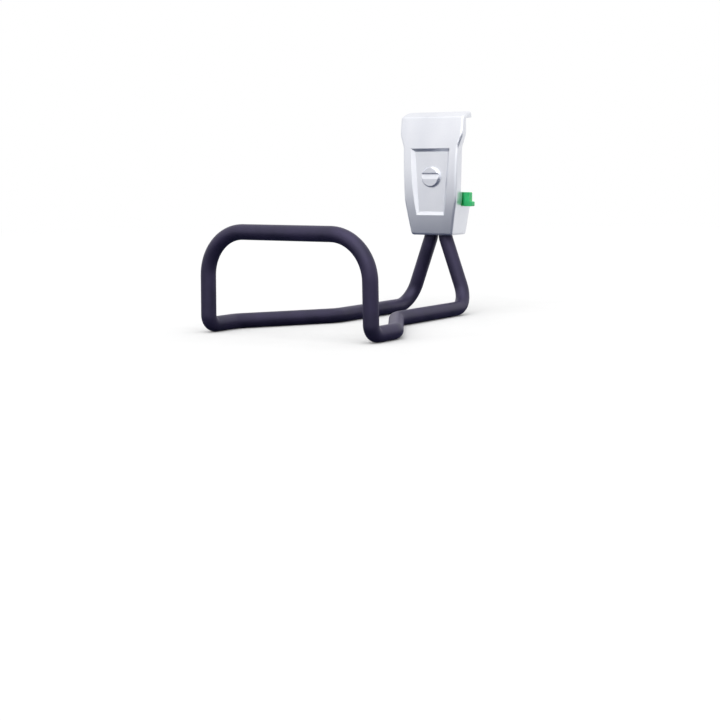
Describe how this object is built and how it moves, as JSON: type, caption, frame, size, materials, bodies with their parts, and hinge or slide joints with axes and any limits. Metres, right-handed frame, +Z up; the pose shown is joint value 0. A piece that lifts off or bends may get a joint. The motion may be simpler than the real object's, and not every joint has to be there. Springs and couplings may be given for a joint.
{
  "type": "hose hanger",
  "caption": "Clip-on hose hanger: a moulded clip locks over a wall rail and carries a bent coated rod cradle with a raised front arch.",
  "frame": {"origin": "on the wall plane, level with the middle of the rail, in the clip's middle plane", "axes": "+Z up, +Y into the wall, the rod reaches out to -Y, +X to the side of the lock's tab"},
  "size_m": [0.1632, 0.2426, 0.1733],
  "materials": {
    "cover_silver": "satin",
    "plated_steel": "satin",
    "rod_coating": "matte",
    "lock_green": "gloss",
    "screw_steel": "satin"
  },
  "bodies": {
    "hanger": {"front_cover": "cover_silver", "hanger_plate": "plated_steel", "back_plate": "plated_steel", "hook_rod": "rod_coating", "clamp_screw_1": "screw_steel", "clamp_screw_2": "screw_steel", "clamp_screw_3": "screw_steel", "clamp_screw_4": "screw_steel"},
    "lock": {"lock_slide": "lock_green"}
  },
  "joints": [
    {"name": "lock_travel", "type": "slide", "parent": "hanger", "child": "lock", "axis": [0, 1, 0], "range_m": [0, 0.0065]}
  ]
}
